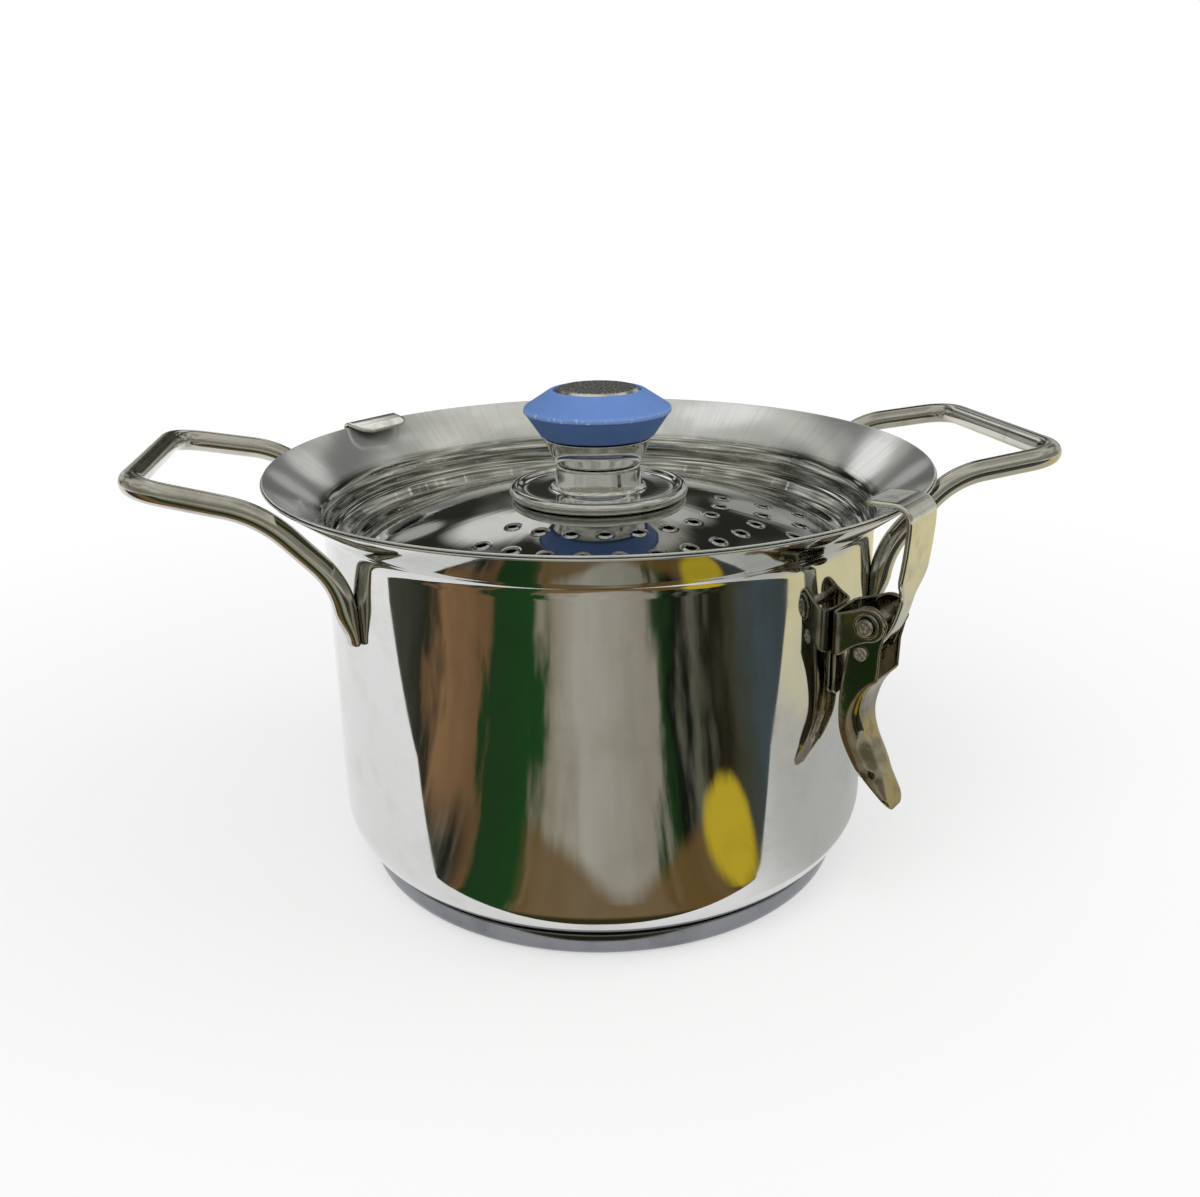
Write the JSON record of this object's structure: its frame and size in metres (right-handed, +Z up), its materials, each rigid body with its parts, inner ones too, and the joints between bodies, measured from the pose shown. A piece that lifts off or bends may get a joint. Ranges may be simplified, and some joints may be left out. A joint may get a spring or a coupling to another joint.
{
  "type": "rice pot",
  "caption": "Polished steel pot with flared rim, capsule base and rod handles; a recessed strainer lid with a blue knob is held by a fixed rim hook and an over-centre toggle latch.",
  "frame": {"origin": "centre of the base's underside, on the axis of the pot", "axes": "+Z up along the pot's axis, +X through the right handle, +Y to the back"},
  "size_m": [0.3331, 0.2504, 0.1844],
  "materials": {
    "polished_steel": "mirror-polished stainless steel with fine polishing lines",
    "satin_steel": "plain bright steel, tumbled",
    "aluminium_core": "as rolled, closed inside the base",
    "blue_grip": "satin moulded plastic",
    "cap_steel": "bead-blasted, finely speckled"
  },
  "bodies": {
    "pot": {"pot_body": "polished_steel", "base_cap": "polished_steel", "base_core": "aluminium_core", "right_handle": "polished_steel", "left_handle": "polished_steel", "rim_hook": "polished_steel", "latch_bracket": "polished_steel", "pivot_pin": "satin_steel", "near_pivot_washer": "satin_steel", "far_pivot_washer": "satin_steel"},
    "lid": {"strainer_lid": "polished_steel", "finger_guard": "polished_steel", "knob_cup": "polished_steel", "grip_ring": "blue_grip", "knob_cap": "cap_steel", "knob_bolt": "satin_steel", "bolt_washer": "satin_steel", "knob_nut": "satin_steel"},
    "lever": {"latch_lever": "polished_steel", "hook_pin": "satin_steel"},
    "hook": {"latch_hook": "polished_steel"}
  },
  "joints": [
    {"name": "lid_turn", "type": "hinge", "parent": "pot", "child": "lid", "pos_m": [0, 0, 0.15], "axis": [0, 0, 1], "continuous": true},
    {"name": "lever_swing", "type": "hinge", "parent": "pot", "child": "lever", "pos_m": [0.08211, -0.08503, 0.1171], "axis": [-0.7193, -0.6947, 0], "range_deg": [0, 80]},
    {"name": "hook_swing", "type": "hinge", "parent": "lever", "child": "hook", "pos_m": [0.08051, -0.08337, 0.1063], "axis": [-0.7193, -0.6947, 0], "range_deg": [-90, 0]}
  ],
  "couplings": [
    {"joint": "hook_swing", "follows": "lever_swing", "ratio": -1.1}
  ]
}
